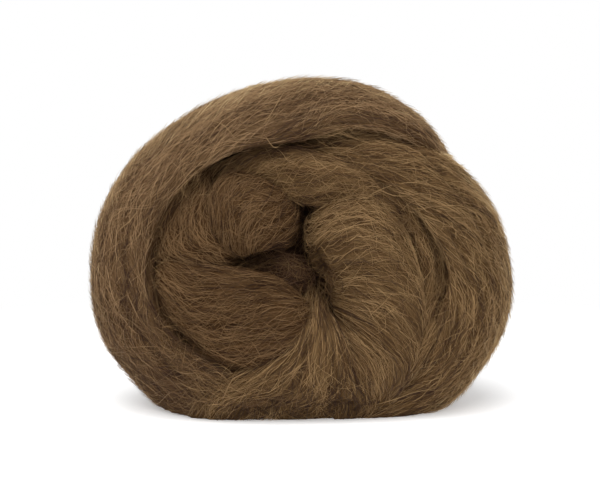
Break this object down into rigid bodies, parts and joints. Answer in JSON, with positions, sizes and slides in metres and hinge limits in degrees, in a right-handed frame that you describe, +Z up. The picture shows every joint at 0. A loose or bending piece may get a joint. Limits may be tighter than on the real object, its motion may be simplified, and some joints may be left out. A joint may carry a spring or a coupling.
{
  "type": "wound ball of combed alpaca top",
  "caption": "Soft ball of combed alpaca fibre: a broad untwisted band wound round itself and tucked in, standing on a small flat spot.",
  "frame": {"origin": "middle of the flat spot that the ball rests on, under the middle of its box", "axes": "+Z up, +X to the right as the coiled face is seen, +Y away from the coiled face"},
  "size_m": [0.1671, 0.0961, 0.1307],
  "materials": {
    "alpaca_fibre": "soft brown combed fibre"
  },
  "bodies": {
    "root": {"wound_top": "alpaca_fibre"}
  },
  "joints": []
}
